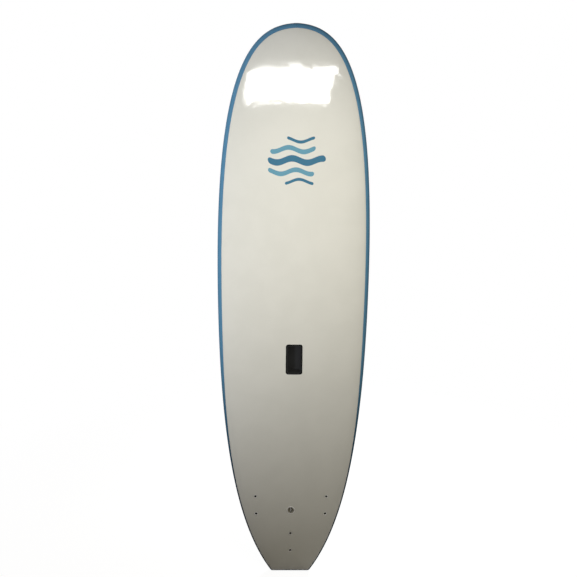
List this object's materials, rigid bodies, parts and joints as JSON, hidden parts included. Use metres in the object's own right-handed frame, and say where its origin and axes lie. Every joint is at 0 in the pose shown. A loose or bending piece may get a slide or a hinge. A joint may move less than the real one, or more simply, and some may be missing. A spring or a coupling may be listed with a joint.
{
  "type": "soft-top surfboard",
  "caption": "Soft-top surfboard with a round nose and narrow squared tail, foam deck and rails, a let-in carry handle, leash plug and bolt-on soft fins.",
  "frame": {"origin": "middle of the flat tail end, on which the board stands", "axes": "+Z from tail to nose, -Y towards the deck, +Y towards the bottom and the fins, +X to the right as seen from the deck side"},
  "size_m": [0.5716, 0.2275, 2.134],
  "materials": {
    "deck_foam": "smooth closed-cell foam sheet, cream, satin",
    "rail_foam": "closed-cell foam, slate blue, satin",
    "slick": "slick polyethylene sheet, slate blue, semi-gloss",
    "core_foam": "white bead foam, hidden",
    "plywood": "raw plywood, hidden",
    "black_plastic": "moulded black, fine grain",
    "grip_rubber": "soft black rubber, ribbed",
    "pale_plastic": "moulded pale plastic, satin",
    "fin_rubber": "soft flexible black, satin",
    "stainless": "stainless, turned",
    "brass_insert": "turned brass, hidden"
  },
  "bodies": {
    "root": {"deck_skin": "deck_foam", "rail_left": "rail_foam", "rail_right": "rail_foam", "tail_band": "rail_foam", "bottom_skin": "slick", "core_left": "core_foam", "core_centre": "core_foam", "core_right": "core_foam", "stringer_left": "plywood", "stringer_right": "plywood", "handle_tray": "black_plastic", "leash_plug_base": "black_plastic", "handle_grip": "grip_rubber", "leash_plug_cup": "pale_plastic", "ferrule_left_front": "pale_plastic", "ferrule_left_rear": "pale_plastic", "ferrule_right_front": "pale_plastic", "ferrule_right_rear": "pale_plastic", "ferrule_centre_front": "pale_plastic", "ferrule_centre_rear": "pale_plastic", "fin_left": "fin_rubber", "fin_right": "fin_rubber", "fin_centre": "fin_rubber", "leash_plug_bar": "stainless", "leash_plug_screw": "stainless", "washer_left_front": "stainless", "washer_left_rear": "stainless", "washer_right_front": "stainless", "washer_right_rear": "stainless", "washer_centre_front": "stainless", "washer_centre_rear": "stainless", "screw_left_front": "stainless", "screw_left_rear": "stainless", "screw_right_front": "stainless", "screw_right_rear": "stainless", "screw_centre_front": "stainless", "screw_centre_rear": "stainless", "insert_left_front": "brass_insert", "insert_left_rear": "brass_insert", "insert_right_front": "brass_insert", "insert_right_rear": "brass_insert", "insert_centre_front": "brass_insert", "insert_centre_rear": "brass_insert"}
  },
  "joints": []
}
